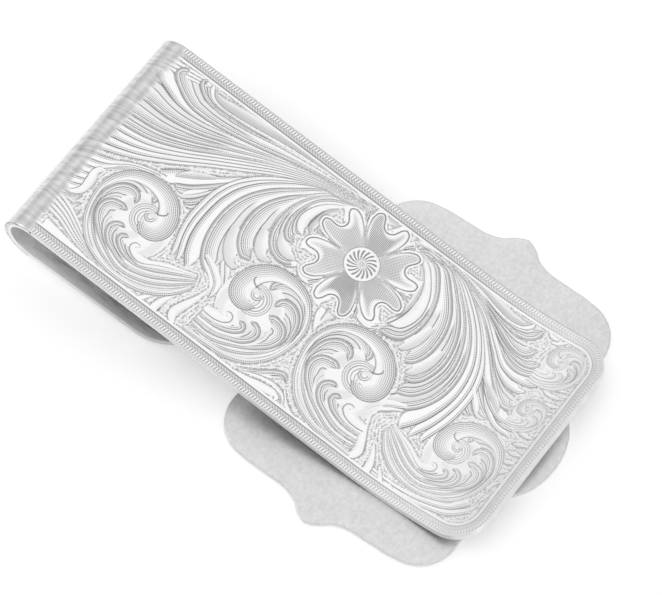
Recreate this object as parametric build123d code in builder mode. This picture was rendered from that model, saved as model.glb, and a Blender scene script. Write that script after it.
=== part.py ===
# Folded silver money clip: an engraved spring strip soldered to a shaped back plate.
# Millimetres. Origin: centre of the plate's outer face. +X runs from the fold to the free end,
# +Y across the strip, +Z out through the engraved leaf.
import os
from math import asin, cos, radians, sin, sqrt, tan

from build123d import *

# Sheet
strip_width = 25.4
strip_thickness = 0.75
plate_thickness = 0.5
strip_edge_break = 0.1

# Fold of the strip
bow_x = -37.8
bow_z = 5.25
bow_inner_radius = 2.25
bow_outer_radius = bow_inner_radius + strip_thickness

# Engraved leaf; reaches are measured along X from the fold's centre
leaf_fall = radians(9.8)  # slope of the straight part, down towards the free end
flare_start = 37.91
flare_radius = 30.0  # underside of the upward curve at the tip
leaf_reach = 52.7
leaf_corner_radius = 3.8

# Rear leg and its soldered tongue
leg_fall = radians(5.3)
shoulder_start = 13.0
shoulder_radius = 5.5
tongue_half_width = 5.0
tongue_reach = 31.0
tongue_bend_radius = 8.0

# Shaped plate: one quarter of its outline, from the side cusp to the end lobe
cusp_half_width = 18.85
shoulder_half_width = 16.85
shoulder_reach = 13.2
lobe_reach = 16.15
plate_quarter = [
    (0, cusp_half_width),
    (1.2, cusp_half_width - 0.55),
    (2.2, shoulder_half_width + 0.65),
    (3.5, shoulder_half_width + 0.2),
    (6.0, shoulder_half_width + 0.05),
    (8.6, shoulder_half_width - 0.05),
    (10.6, shoulder_half_width - 0.45),
    (12.2, shoulder_half_width - 1.6),
    (shoulder_reach - 0.1, shoulder_half_width - 3.4),
    (shoulder_reach, shoulder_half_width - 5.4),
    (shoulder_reach - 0.15, 9.0),
    (shoulder_reach + 0.1, 7.0),
    (shoulder_reach + 1.0, 5.3),
    (lobe_reach - 0.7, 3.4),
    (lobe_reach - 0.1, 1.4),
    (lobe_reach, 0),
]

# Solder bead round the tongue
bead_start = 24.6
bead_width = 0.45
bead_height = 0.4

half_width = strip_width / 2
leaf_angle = radians(90) - leaf_fall
leg_angle = radians(270) - leg_fall


def on_bow(radius, angle):
    """X and Z of a point on the fold."""
    return (bow_x + radius * cos(angle), bow_z + radius * sin(angle))


def on_curve(centre, radius, turn):
    """X and Z of a point on an upward curve; turn is 0 at its lowest point."""
    return (centre[0] + radius * sin(turn), centre[1] - radius * cos(turn))


os.makedirs("parts", exist_ok=True)

# Spring bow: the half turn between the leaf and the leg
back_angle = (leaf_angle + leg_angle) / 2
with BuildPart() as spring_bow:
    with BuildSketch(Plane.XZ):
        with BuildLine():
            bow_out = ThreePointArc(
                on_bow(bow_outer_radius, leaf_angle),
                on_bow(bow_outer_radius, back_angle),
                on_bow(bow_outer_radius, leg_angle),
            )
            bow_in = ThreePointArc(
                on_bow(bow_inner_radius, leaf_angle),
                on_bow(bow_inner_radius, back_angle),
                on_bow(bow_inner_radius, leg_angle),
            )
            Line(bow_out @ 0, bow_in @ 0)
            Line(bow_out @ 1, bow_in @ 1)
        make_face()
    extrude(amount=half_width, both=True)
    chamfer(spring_bow.edges().filter_by(GeomType.CIRCLE), strip_edge_break)
spring_bow.part.label = "spring_bow"
export_step(spring_bow.part, "parts/spring_bow.step")

# Engraved leaf: straight from the fold, then an upward flare to the tip
leaf_under = on_bow(bow_inner_radius, leaf_angle)
leaf_over = on_bow(bow_outer_radius, leaf_angle)
tip_x = bow_x + leaf_reach
flare_x = bow_x + flare_start
flare_z = leaf_under[1] - (flare_x - leaf_under[0]) * tan(leaf_fall)
flare_centre = (flare_x + flare_radius * sin(leaf_fall), flare_z + flare_radius * cos(leaf_fall))
flare_over_radius = flare_radius - strip_thickness
tip_turn = asin((tip_x - flare_centre[0]) / flare_radius)
mid_turn = (tip_turn - leaf_fall) / 2
with BuildPart() as engraved_leaf:
    with BuildSketch(Plane.XZ):
        with BuildLine():
            leaf_low = ThreePointArc(
                on_curve(flare_centre, flare_radius, -leaf_fall),
                on_curve(flare_centre, flare_radius, mid_turn),
                on_curve(flare_centre, flare_radius, tip_turn),
            )
            leaf_high = ThreePointArc(
                on_curve(flare_centre, flare_over_radius, -leaf_fall),
                on_curve(flare_centre, flare_over_radius, mid_turn),
                on_curve(flare_centre, flare_over_radius, tip_turn),
            )
            Line(leaf_under, leaf_low @ 0)
            Line(leaf_over, leaf_high @ 0)
            Line(leaf_under, leaf_over)
            Line(leaf_low @ 1, leaf_high @ 1)
        make_face()
    extrude(amount=half_width, both=True)
    # The free end's two corners are rounded
    corners = engraved_leaf.edges().filter_by(lambda edge: edge.length < 1.5 * strip_thickness)
    fillet(corners.sort_by(Axis.X)[-2:], leaf_corner_radius)
    # Every edge of the rim is broken except the joint with the bow and the lines across the strip
    rim = engraved_leaf.edges().filter_by(
        lambda edge: edge.length > 2 * strip_thickness
        and abs(edge.length - strip_width) > strip_edge_break
        and edge.center().X > leaf_over[0] + strip_edge_break
    )
    chamfer(rim, strip_edge_break)
engraved_leaf.part.label = "engraved_leaf"
export_step(engraved_leaf.part, "parts/engraved_leaf.step")

# Rear leg: falls from the fold, narrows to a tongue and lies flat on the plate
leg_under = on_bow(bow_outer_radius, leg_angle)
leg_over = on_bow(bow_inner_radius, leg_angle)
bend_centre_z = plate_thickness + tongue_bend_radius
bend_z = bend_centre_z - tongue_bend_radius * cos(leg_fall)
bend_x = leg_under[0] + (leg_under[1] - bend_z) / tan(leg_fall)
bend_centre = (bend_x + tongue_bend_radius * sin(leg_fall), bend_centre_z)
bend_over_radius = tongue_bend_radius - strip_thickness
tongue_x = bow_x + tongue_reach
shoulder_x = bow_x + shoulder_start
shoulder_end_y = half_width - shoulder_radius
neck_radius = shoulder_end_y - tongue_half_width
neck_x = shoulder_x + shoulder_radius
diagonal = sqrt(0.5)
with BuildPart() as rear_leg:
    with BuildSketch(Plane.XZ):
        with BuildLine():
            leg_low = ThreePointArc(
                on_curve(bend_centre, tongue_bend_radius, -leg_fall),
                on_curve(bend_centre, tongue_bend_radius, -leg_fall / 2),
                on_curve(bend_centre, tongue_bend_radius, 0),
            )
            leg_high = ThreePointArc(
                on_curve(bend_centre, bend_over_radius, -leg_fall),
                on_curve(bend_centre, bend_over_radius, -leg_fall / 2),
                on_curve(bend_centre, bend_over_radius, 0),
            )
            Line(leg_under, leg_low @ 0)
            Line(leg_over, leg_high @ 0)
            Line(leg_under, leg_over)
            Polyline(
                leg_low @ 1,
                (tongue_x, plate_thickness),
                (tongue_x, plate_thickness + strip_thickness),
                leg_high @ 1,
            )
        make_face()
    extrude(amount=half_width, both=True)
    # Plan outline: full width, round shoulders, then the tongue
    with BuildSketch(Plane.XY):
        with BuildLine():
            Line((bow_x - bow_outer_radius, 0), (bow_x - bow_outer_radius, half_width))
            Line((bow_x - bow_outer_radius, half_width), (shoulder_x, half_width))
            ThreePointArc(
                (shoulder_x, half_width),
                (shoulder_x + diagonal * shoulder_radius, shoulder_end_y + diagonal * shoulder_radius),
                (neck_x, shoulder_end_y),
            )
            ThreePointArc(
                (neck_x, shoulder_end_y),
                (
                    neck_x + (1 - diagonal) * neck_radius,
                    shoulder_end_y - diagonal * neck_radius,
                ),
                (neck_x + neck_radius, tongue_half_width),
            )
            Line((neck_x + neck_radius, tongue_half_width), (tongue_x - tongue_half_width, tongue_half_width))
            ThreePointArc(
                (tongue_x - tongue_half_width, tongue_half_width),
                (
                    tongue_x - (1 - diagonal) * tongue_half_width,
                    diagonal * tongue_half_width,
                ),
                (tongue_x, 0),
            )
            mirror(about=Plane.XZ)
        make_face()
    extrude(amount=bow_z, mode=Mode.INTERSECT)
rear_leg.part.label = "rear_leg"
export_step(rear_leg.part, "parts/rear_leg.step")

# Shaped plate: flat sheet with four round shoulders, two side cusps and two end lobes
with BuildPart() as shaped_plate:
    with BuildSketch(Plane.XY):
        with BuildLine():
            Spline(*plate_quarter, tangents=[(1, 0), (0, -1)])
            mirror(about=Plane.YZ)
            mirror(about=Plane.XZ)
        make_face()
    extrude(amount=plate_thickness)
shaped_plate.part.label = "shaped_plate"
export_step(shaped_plate.part, "parts/shaped_plate.step")

# Solder fillet: a three-cornered bead in the angle between the tongue's edge and the plate
bead_x = bow_x + bead_start
bead_turn_x = tongue_x - tongue_half_width
with BuildPart() as solder_fillet:
    with BuildLine() as bead_path:
        Line((bead_x, tongue_half_width, plate_thickness), (bead_turn_x, tongue_half_width, plate_thickness))
        ThreePointArc(
            (bead_turn_x, tongue_half_width, plate_thickness),
            (tongue_x, 0, plate_thickness),
            (bead_turn_x, -tongue_half_width, plate_thickness),
        )
        Line((bead_turn_x, -tongue_half_width, plate_thickness), (bead_x, -tongue_half_width, plate_thickness))
    with BuildSketch(Plane.YZ.offset(bead_x)):
        with BuildLine():
            Polyline(
                (tongue_half_width, plate_thickness),
                (tongue_half_width + bead_width, plate_thickness),
                (tongue_half_width, plate_thickness + bead_height),
                close=True,
            )
        make_face()
    sweep(path=bead_path.line)
solder_fillet.part.label = "solder_fillet"
export_step(solder_fillet.part, "parts/solder_fillet.step")
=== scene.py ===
# Folded silver money clip with a hand-engraved leaf. Metres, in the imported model's frame.
from math import cos, hypot, pi, radians, sin, tan

import bpy
import numpy as np
from mathutils import Matrix, Vector


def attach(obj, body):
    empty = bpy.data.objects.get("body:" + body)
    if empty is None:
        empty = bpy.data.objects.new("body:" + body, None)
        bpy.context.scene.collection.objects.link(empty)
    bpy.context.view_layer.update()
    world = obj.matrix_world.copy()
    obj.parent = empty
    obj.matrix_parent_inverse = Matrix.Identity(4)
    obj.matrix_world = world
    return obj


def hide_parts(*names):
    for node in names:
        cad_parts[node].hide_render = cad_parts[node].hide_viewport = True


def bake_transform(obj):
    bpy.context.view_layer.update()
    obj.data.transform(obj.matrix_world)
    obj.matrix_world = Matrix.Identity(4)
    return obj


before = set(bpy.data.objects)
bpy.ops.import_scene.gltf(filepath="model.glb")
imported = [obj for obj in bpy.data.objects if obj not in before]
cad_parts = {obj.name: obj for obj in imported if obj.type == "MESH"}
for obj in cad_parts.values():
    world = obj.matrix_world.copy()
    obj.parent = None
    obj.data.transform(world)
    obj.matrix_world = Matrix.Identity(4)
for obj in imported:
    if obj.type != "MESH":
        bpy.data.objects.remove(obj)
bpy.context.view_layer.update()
MM = 0.001


# ---------------------------------------------------------------- engraving
# The pattern is drawn on the flattened leaf, in mm: d runs from the fold's end of the leaf
# towards the tip along the outer surface (negative round the fold), y across the strip.
CELL = 0.04
D_LO, D_HI, Y_HI = -4.6, 53.0, 12.8
LEAF_LENGTH, CORNER_R, HALF_W = 52.7, 3.8, 12.7

axis_d = np.arange(D_LO, D_HI, CELL)
axis_y = np.arange(-Y_HI, Y_HI + CELL / 2, CELL)
grid_d, grid_y = np.meshgrid(axis_d, axis_y, indexing="ij")
height = np.zeros(grid_d.shape)  # mm above the sheet
tone = np.full(grid_d.shape, 0.93)  # brightness of the cut metal
hatch = np.zeros(grid_d.shape)  # strength of the fine shading lines
across = np.zeros(grid_d.shape)  # mm from the stroke's edge, which the shading lines follow
along = np.zeros(grid_d.shape)  # mm along the stroke
free = np.full(grid_d.shape, True)  # no leaf, scroll or flower covers it


def smooth(low, high, x):
    k = np.clip((x - low) / (high - low), 0, 1)
    return k * k * (3 - 2 * k)


def bell(x, centre, width):
    return np.exp(-(((x - centre) / width) ** 2))


def within(inward):
    """1 inside an edge and 0 outside it, with a ramp one cell wide."""
    return np.clip(inward / CELL + 0.5, 0, 1)


def lay(where, cover, *pairs):
    """Bring each field of the pairs to its new value, as far as cover says."""
    for field, value in pairs:
        field[where] += cover * (value - field[where])


def neighbours(field, axis):
    """The field shifted by one cell down the axis, by none and by one up."""
    pad = np.pad(field, [(1, 1) if k == axis else (0, 0) for k in (0, 1)], "edge")
    return [np.take(pad, range(k, k + field.shape[axis]), axis) for k in range(3)]


def soften(field, passes=1):
    for _ in range(passes):
        for axis in (0, 1):
            lo, mid, hi = neighbours(field, axis)
            field = 0.25 * lo + 0.5 * mid + 0.25 * hi
    return field


def curve(points, step=0.08):
    """Points about every step mm along a smooth curve through the given points, with tangents and lengths."""
    p = np.asarray(points, float)
    t = np.r_[0, np.cumsum(np.hypot(*np.diff(p, axis=0).T))]
    slope = np.diff(p, axis=0) / np.diff(t)[:, None]
    m = np.empty_like(p)
    h = np.diff(t)[:, None]
    m[1:-1] = (slope[:-1] * h[1:] + slope[1:] * h[:-1]) / (h[1:] + h[:-1])
    m[0], m[-1] = 1.5 * slope[0] - 0.5 * m[1], 1.5 * slope[-1] - 0.5 * m[-2]
    q = np.linspace(0, t[-1], max(12, int(t[-1] / step)))
    i = np.clip(np.searchsorted(t, q, side="right") - 1, 0, len(h) - 1)
    k = ((q - t[i]) / h[i, 0])[:, None]
    hi = h[i]
    c = (
        (2 * k**3 - 3 * k**2 + 1) * p[i]
        + (k**3 - 2 * k**2 + k) * hi * m[i]
        + (3 * k**2 - 2 * k**3) * p[i + 1]
        + (k**3 - k**2) * hi * m[i + 1]
    )
    tangent = np.gradient(c, axis=0)
    tangent /= np.linalg.norm(tangent, axis=1)[:, None]
    return c, tangent, np.r_[0, np.cumsum(np.hypot(*np.diff(c, axis=0).T))]


COARSE, CHUNK = 6, 200000  # samples that the first pass of local() skips, and cells that it takes at once


def local(points, reach):
    """For the cells within reach of a curve: their slice, distance to its left, and length along it."""
    c, tangent, length = curve(points)
    lo, hi = c.min(0) - reach, c.max(0) + reach
    i0, i1 = np.searchsorted(axis_d, [lo[0], hi[0]])
    j0, j1 = np.searchsorted(axis_y, [lo[1], hi[1]])
    cut = (slice(i0, i1), slice(j0, j1))
    x, y = grid_d[cut].ravel(), grid_y[cut].ravel()
    if x.size == 0:
        return None
    # A coarse pass finds the nearest sample; its neighbours refine it.
    near = np.empty(x.size, int)
    for k in range(0, x.size, CHUNK):
        xs, ys = x[k : k + CHUNK, None], y[k : k + CHUNK, None]
        rough = COARSE * np.argmin((xs - c[None, ::COARSE, 0]) ** 2 + (ys - c[None, ::COARSE, 1]) ** 2, axis=1)
        window = np.clip(rough[:, None] + np.arange(-COARSE, COARSE + 1), 0, len(c) - 1)
        d2 = (xs - c[window, 0]) ** 2 + (ys - c[window, 1]) ** 2
        near[k : k + CHUNK] = window[np.arange(len(window)), np.argmin(d2, axis=1)]
    dx, dy = x - c[near, 0], y - c[near, 1]
    tx, ty = tangent[near].T
    left = -ty * dx + tx * dy
    s = length[near] + tx * dx + ty * dy
    shape = grid_d[cut].shape
    return cut, left.reshape(shape), s.reshape(shape), length[-1]


# Profiles across a stroke 1.1 mm wide from its outer edge: mm, height in mm, tone, shading
LEAF = np.array([
    (0.00, -0.015, 0.50, 0.0), (0.05, -0.015, 0.60, 0.0), (0.08, -0.010, 0.76, 0.0), (0.26, 0.006, 0.78, 0.0),
    (0.29, 0.012, 1.00, 0.0), (0.38, 0.012, 1.00, 0.0), (0.41, 0.000, 0.56, 0.5), (0.46, 0.004, 0.80, 1.0),
    (0.60, 0.006, 0.88, 1.0), (0.72, 0.006, 0.96, 0.6), (0.84, 0.004, 1.00, 0.0), (1.03, -0.004, 1.00, 0.0),
    (1.10, -0.012, 0.74, 0.0),
])
LINE = np.array([
    (0.00, -0.015, 0.48, 0.0), (0.10, -0.010, 0.62, 0.2), (0.17, 0.004, 0.82, 1.0), (0.36, 0.006, 0.87, 1.0),
    (0.50, 0.006, 0.94, 0.5), (0.58, 0.005, 1.00, 0.0), (1.00, -0.004, 1.00, 0.0), (1.10, -0.012, 0.80, 0.0),
])
BROAD = np.array([
    (0.00, -0.015, 0.50, 0.0), (0.06, -0.010, 0.64, 0.4), (0.11, 0.004, 0.76, 1.0), (0.45, 0.006, 0.82, 1.0),
    (0.75, 0.006, 0.92, 0.6), (0.90, 0.005, 1.00, 0.0), (1.03, -0.004, 0.97, 0.0), (1.10, -0.012, 0.66, 0.0),
])
PLAIN = np.array([
    (0.00, -0.015, 0.50, 0.0), (0.06, -0.006, 0.62, 0.0), (0.11, 0.005, 0.97, 0.0), (0.60, 0.008, 1.00, 0.0),
    (0.90, 0.004, 0.95, 0.2), (1.03, -0.004, 0.90, 0.3), (1.10, -0.015, 0.52, 0.0),
])
LOBE = np.array([
    (0.00, -0.012, 0.54, 0.0), (0.05, -0.006, 0.66, 0.0), (0.10, 0.002, 0.88, 0.0), (0.50, 0.006, 0.92, 0.0),
    (0.80, 0.006, 0.98, 0.0), (1.10, 0.004, 1.00, 0.0),
])
WHITE = np.array([(0.0, -0.01, 0.60, 0.0), (0.10, 0.006, 1.0, 0.0), (1.0, 0.006, 1.0, 0.0), (1.1, -0.01, 0.64, 0.0)])
GREY = np.array([(0.0, -0.01, 0.56, 0.0), (0.07, -0.01, 0.78, 0.3), (0.5, -0.01, 0.84, 0.4), (0.9, -0.01, 0.96, 0.0),
                 (1.1, -0.006, 0.90, 0.0)])
SHADE = np.array([(0.0, 0.0, 0.66, 1.0), (0.5, 0.0, 0.78, 1.0), (1.1, 0.0, 0.95, 0.0)])
FULL = 1.1  # width up to which a stroke's profile shrinks with it
CORE = 0.45  # part of the profile, from its outer edge, that a wider stroke doesn't stretch
GRAVER_STEP = 0.27  # mm from one push of the graver to the next


def stroke(points, width, profile=LEAF, tip=0.12, root=0.0, strength=1.0):
    """One cut leaf: it lies to the left of its outer edge (a negative width: to the right), as wide as
    width says along it, rounded over its last tip of the length and tapered over its first root."""
    width = np.atleast_1d(np.asarray(width, float))
    side = np.sign(width[np.argmax(np.abs(width))])
    width = np.abs(width)
    if profile is LEAF and width.max() < 0.9:
        profile = LINE
    got = local(points, width.max() + 0.1)
    if got is None:
        return
    cut, left, s, total = got
    t, u = left * side, s / total
    w = np.interp(u, np.linspace(0, 1, len(width)), width) if len(width) > 1 else np.full(u.shape, width[0])
    if tip:
        w = w * np.sqrt(np.clip(1 - np.clip((u - 1 + tip) / tip, 0, 1) ** 2, 0, 1))
    if root:
        w = w * smooth(0, root, u)
    cover = within(t) * within(w - t)
    cover *= (u > -0.002) & (u < 1.002) * (w > CELL)
    small = np.clip(w / FULL, CELL, 1)
    f = t / small
    f = np.where(f < CORE, f, CORE + (t - CORE * small) / np.maximum(w - CORE * small, CELL) * (FULL - CORE))
    f = np.clip(f, 0, FULL)
    ends = smooth(0, 0.05, u)
    level = np.interp(f, profile[:, 0], profile[:, 1]) * strength
    value = 0.90 + (np.interp(f, profile[:, 0], profile[:, 2]) - 0.90) * (0.4 + 0.6 * strength)
    value = value + 0.12 * smooth(0.76, 0.6, value) * np.sin(2 * np.pi * s / GRAVER_STEP)
    value = value - 0.34 * bell(w - t, 0, 0.07) * smooth(0.6, 0.9, u) * smooth(0.2, 0.5, w.max())
    if profile is LEAF and width.max() > 0.95:
        # A second cut inside a broad leaf's end, with a greyer lobe beyond it
        late = smooth(0.5, 0.58, u)
        split = 0.66 * w
        value = value - late * (0.44 * bell(t, split, 0.055) + 0.07 * smooth(0, 0.1, t - split))
    lines = np.interp(f, profile[:, 0], profile[:, 3]) * strength
    lay(cut, cover, (height, level), (tone, value))
    inside = cover > 0.5
    hatch[cut] = np.where(inside, lines * ends, hatch[cut] * (1 - cover))
    across[cut] = np.where(inside, t, across[cut])
    along[cut] = np.where(inside, s, along[cut])
    free[cut] &= ~inside


def groove(points, width=0.13, depth=0.02, value=0.5):
    """A single cut line, tapered at both ends."""
    cut, left, s, total = local(points, width)
    u = s / total
    w = width * np.clip(4 * u * (1 - u), 0, 1) ** 0.35
    k = bell(left, 0, np.maximum(w * 0.5, 1e-3)) * ((u >= 0) & (u <= 1)) * (w > 0.01)
    height[cut] -= depth * k
    tone[cut] += k * (value - tone[cut])
    hatch[cut] *= 1 - k


def placed(points, centre, scale, mirror):
    return [(centre[0] + scale * mirror * x, centre[1] + scale * y) for x, y in points]


def family(edges, side, tip=0.1, widest=2.4, strength=1.0):
    """Strokes side by side, each reaching to the next one's edge; the last edge only closes the row."""
    for (points, profile), (following, _) in zip(edges, edges[1:]):
        here, there = curve(points, 0.3)[0], curve(following, 0.1)[0]
        gap = np.sqrt(((here[:, None] - there[None]) ** 2).sum(2)).min(1)
        gap = np.minimum(np.convolve(np.pad(gap, 2, "edge"), np.ones(5) / 5, "valid"), widest)
        stroke(points, side * gap * 1.04, profile, tip, strength=strength)


def strokes(table, x=0.0, mirror=1):
    """A stroke for each entry of points, widths, profile, tip and root; mirror = -1 mirrors them about x / 2."""
    for points, widths, *rest in table:
        stroke(placed(points, (x, 0.0), 1.0, mirror), mirror * np.array(widths), *rest)


def ring(centre, radius, start, end):
    angles = np.radians(np.linspace(start, end, 25))
    return [(centre[0] + radius * np.cos(a), centre[1] + radius * np.sin(a)) for a in angles]


# ---- Scroll: a stem that circles in to a button, with leaves curling inside it
STEM = [(-0.5, -6.95), (-2.8, -5.95), (-4.5, -4.0), (-5.35, -1.5), (-5.45, 0.5), (-4.9, 2.2), (-3.8, 3.6),
        (-2.2, 4.45), (-0.3, 4.7), (1.5, 4.25), (2.9, 3.1), (3.65, 1.6), (3.8, 0.2), (3.4, -0.85), (2.6, -1.55),
        (1.5, -1.75), (0.6, -1.35), (0.2, -0.6)]
STEM_WIDTHS = np.array([0.5, 0.7, 0.6, 0.5, 0.5, 0.6, 1.2, 1.85, 2.35, 2.5, 2.1])
BUTTON_WIDTHS = np.array([0.5, 1.3, 1.7, 1.7, 1.5, 0.8])
RINGS = np.array([
    (0, -0.015, 0.48, 0), (0.07, 0.0, 0.90, 0), (0.19, 0.004, 1.0, 0), (0.25, -0.008, 0.60, 0), (0.31, 0.0, 1.0, 0),
    (0.42, 0.004, 1.0, 0), (0.48, -0.008, 0.62, 0), (0.54, 0.0, 1.0, 0), (0.62, 0.004, 1.0, 0),
    (0.67, -0.008, 0.66, 0), (0.72, 0.0, 1.0, 0), (0.82, 0.0, 1.0, 0), (0.87, -0.008, 0.70, 0),
    (0.92, 0.0, 0.98, 0), (1.10, 0.0, 0.90, 0),
])
SCROLL = [
    ([(-1.2, -6.5), (-3.2, -5.2), (-4.6, -3.2), (-5.1, -0.8), (-5.0, 0.9), (-4.4, 2.4), (-3.3, 3.5), (-1.9, 3.95),
      (-0.7, 3.8), (0.1, 3.3), (0.45, 2.5), (0.2, 1.8)], LEAF),
    ([(-0.9, -6.0), (-3.0, -4.5), (-4.3, -2.6), (-4.7, -0.8), (-4.55, 0.4), (-3.95, 1.5), (-3.0, 2.15), (-2.2, 2.25),
      (-1.4, 1.9), (-1.1, 1.3), (-1.25, 0.7)], LEAF),
    ([(-0.5, -5.5), (-2.5, -4.3), (-3.8, -3.0), (-4.2, -1.8), (-4.0, -0.9), (-3.5, -0.3), (-2.7, 0.0), (-1.9, 0.0),
      (-1.35, -0.4)], LEAF),
    ([(0.2, -5.2), (-1.2, -4.5), (-1.9, -3.6), (-2.0, -2.7), (-1.5, -2.0), (-0.8, -1.8), (-0.35, -2.1)], LEAF),
    ([(1.4, -4.8), (0.1, -4.2), (-0.45, -3.5), (-0.4, -2.9), (0.1, -2.55), (0.6, -2.75)], LEAF),
    ([(2.7, -4.3), (1.6, -3.9), (1.2, -3.4), (1.3, -2.85), (1.8, -2.6), (2.2, -2.8)], PLAIN),
    ([(4.0, -3.3), (3.3, -3.2), (2.8, -2.8)], PLAIN),
]
# Where the stem and each leaf come from, before their first point: along the rim, or up from beside the stalk
FLAT_ROOTS = [
    [(4.5, -7.2), (2.0, -7.2)], [(4.2, -6.8), (1.5, -6.9)], [(4.2, -6.5), (1.5, -6.6)], [(4.2, -6.25), (1.5, -6.3)],
    [(4.2, -5.7), (1.8, -5.75)], [(4.1, -4.9), (3.0, -5.0)], [(4.2, -4.2)], [(4.4, -3.4)],
]
RISING_ROOTS = [
    [(9.2, -3.2), (7.7, -5.3), (5.0, -6.9), (2.0, -7.3)], [(9.1, -2.85), (7.4, -4.9), (4.8, -6.45), (1.5, -6.9)],
    [(9.05, -2.7), (7.25, -4.65), (4.7, -6.15), (1.5, -6.6)], [(9.0, -2.5), (7.1, -4.4), (4.6, -5.85), (1.6, -6.3)],
    [(8.9, -2.2), (6.9, -3.75), (4.4, -5.2), (2.0, -5.7)], [(8.8, -1.9), (6.7, -3.1), (4.6, -4.3), (3.2, -4.8)],
    [(8.7, -1.6), (6.5, -2.5), (5.0, -3.2)], [(8.7, -1.4), (6.5, -2.1), (5.0, -2.5)],
]


def scroll(centre, size, mirror, roots, strength=1.0):
    """One scroll at its centre: mirror is 1 or -1, and the roots are a list like FLAT_ROOTS."""
    at = lambda points: placed(points, centre, size, mirror)
    rows = [(at(r + points), profile) for r, (points, profile) in zip(roots, [(STEM, LINE), *SCROLL])]
    # Plain metal inside the stem, shaded a little towards the button
    x, y = (grid_d - centre[0]) / (mirror * size), (grid_y - centre[1]) / size
    inside = np.hypot(x + 0.5, y + 0.75)
    disc = smooth(4.75, 4.55, inside) * (x > -5.4) * (y > -5.4)
    swirl = 2.2 * inside + 1.5 * np.arctan2(y + 0.25, x - 0.95)
    lay(slice(None), disc, (tone, 0.985 - 0.05 * smooth(0.0, 0.8, np.sin(swirl))))
    free[disc > 0.5] = False
    family(rows[1:], -mirror, 0.10, 2.0 * size, strength)
    # Button: fine lines winding in from the leaves, under the stem's rounded end
    stroke(at(ring((0.75, 0.05), 1.8, 50, 300)), mirror * size * BUTTON_WIDTHS, RINGS, 0.05, 0.05)
    stroke(rows[0][0], -mirror * size * STEM_WIDTHS, BROAD, 0.05, strength=strength)
    # Hook beside the stem and the button's eye
    groove(at([(2.05, 2.2), (2.1, 1.85), (1.85, 1.5), (1.4, 1.3), (0.9, 1.25)]), 0.14 * size, 0.012, 0.5)
    for radius in (0.35, 0.6):
        groove(at(ring((0.85, 0.6), radius, 150, 380)), 0.11 * size, 0.008, 0.6)


def draw_scrolls():
    scroll((7.07, -4.47), 0.93, 1, RISING_ROOTS)
    scroll((46.04, -4.6), 0.80, -1, RISING_ROOTS, 0.8)
    scroll((21.67, -4.3), 0.96, -1, FLAT_ROOTS)
    scroll((33.0, -4.2), 1.0, 1, FLAT_ROOTS)
    scroll((48.6, 8.9), 0.46, -1, FLAT_ROOTS, 0.6)
    scroll((48.9, 2.7), 0.34, -1, FLAT_ROOTS, 0.6)


# ---- Long leaves that fan from above the flower
LEFT_D = (21.5, 18.0, 15.0, 12.0, 9.0, 6.0, 3.0, 0.0, -2.2)
LEFT_PLUME = [
    (list(zip(LEFT_D, (10.1, 9.0, 7.6, 5.7, 3.8, 1.7, -0.1, -1.4, -2.1))), LINE),
    (list(zip(LEFT_D, (10.2, 9.2, 7.9, 6.1, 4.2, 2.2, 0.5, -0.6, -1.1))), LINE),
    (list(zip(LEFT_D, (10.3, 9.4, 8.2, 6.5, 4.7, 2.8, 1.2, 0.3, 0.0))), LINE),
    (list(zip(LEFT_D, (10.4, 9.6, 8.45, 6.9, 5.1, 3.3, 1.9, 1.3, 1.2))), LINE),
    (list(zip(LEFT_D, (10.45, 9.75, 8.7, 7.2, 5.5, 3.75, 2.5, 2.0, 1.9))), LEAF),
    (list(zip(LEFT_D, (10.5, 9.95, 9.0, 7.75, 6.3, 4.8, 3.75, 3.4, 3.3))), LEAF),
    (list(zip(LEFT_D, (10.6, 10.1, 9.3, 8.2, 7.05, 5.95, 5.4, 5.45, 5.6))), LEAF),
    ([(21.5, 10.75), (19, 10.35), (16, 9.7), (13, 9.0), (10, 8.3), (8, 7.8), (6, 7.35), (4, 7.15), (2, 7.35),
      (1, 7.7), (0, 8.05), (-1.4, 8.9)], LINE),
    ([(22, 10.9), (18, 10.2), (15, 9.55), (12, 8.75), (9, 8.1), (7, 7.8), (5, 7.7), (4, 7.75), (3, 8.05), (2, 8.55),
      (1, 9.2), (0.4, 10.0), (0.6, 10.7), (1.3, 11.1)], LEAF),
    ([(22, 11.1), (19, 10.85), (16, 10.5), (13, 10.05), (10, 9.45), (8, 9.2), (6, 9.15), (4.5, 9.4), (3.6, 9.9),
      (3.0, 10.5), (2.95, 11.0), (3.4, 11.3)], LEAF),
    ([(22, 11.2), (20, 11.1), (16, 10.75), (13, 10.45), (10, 10.0), (8, 9.8), (6, 9.72), (5.2, 9.85), (4.5, 10.3),
      (4.2, 10.8), (4.2, 11.35)], WHITE),
    ([(22, 11.25), (16, 10.95), (13, 10.65), (10, 10.2), (8, 10.0), (6, 9.95), (5.3, 10.15), (4.8, 10.6),
      (4.7, 11.0)], GREY),
]
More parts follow.
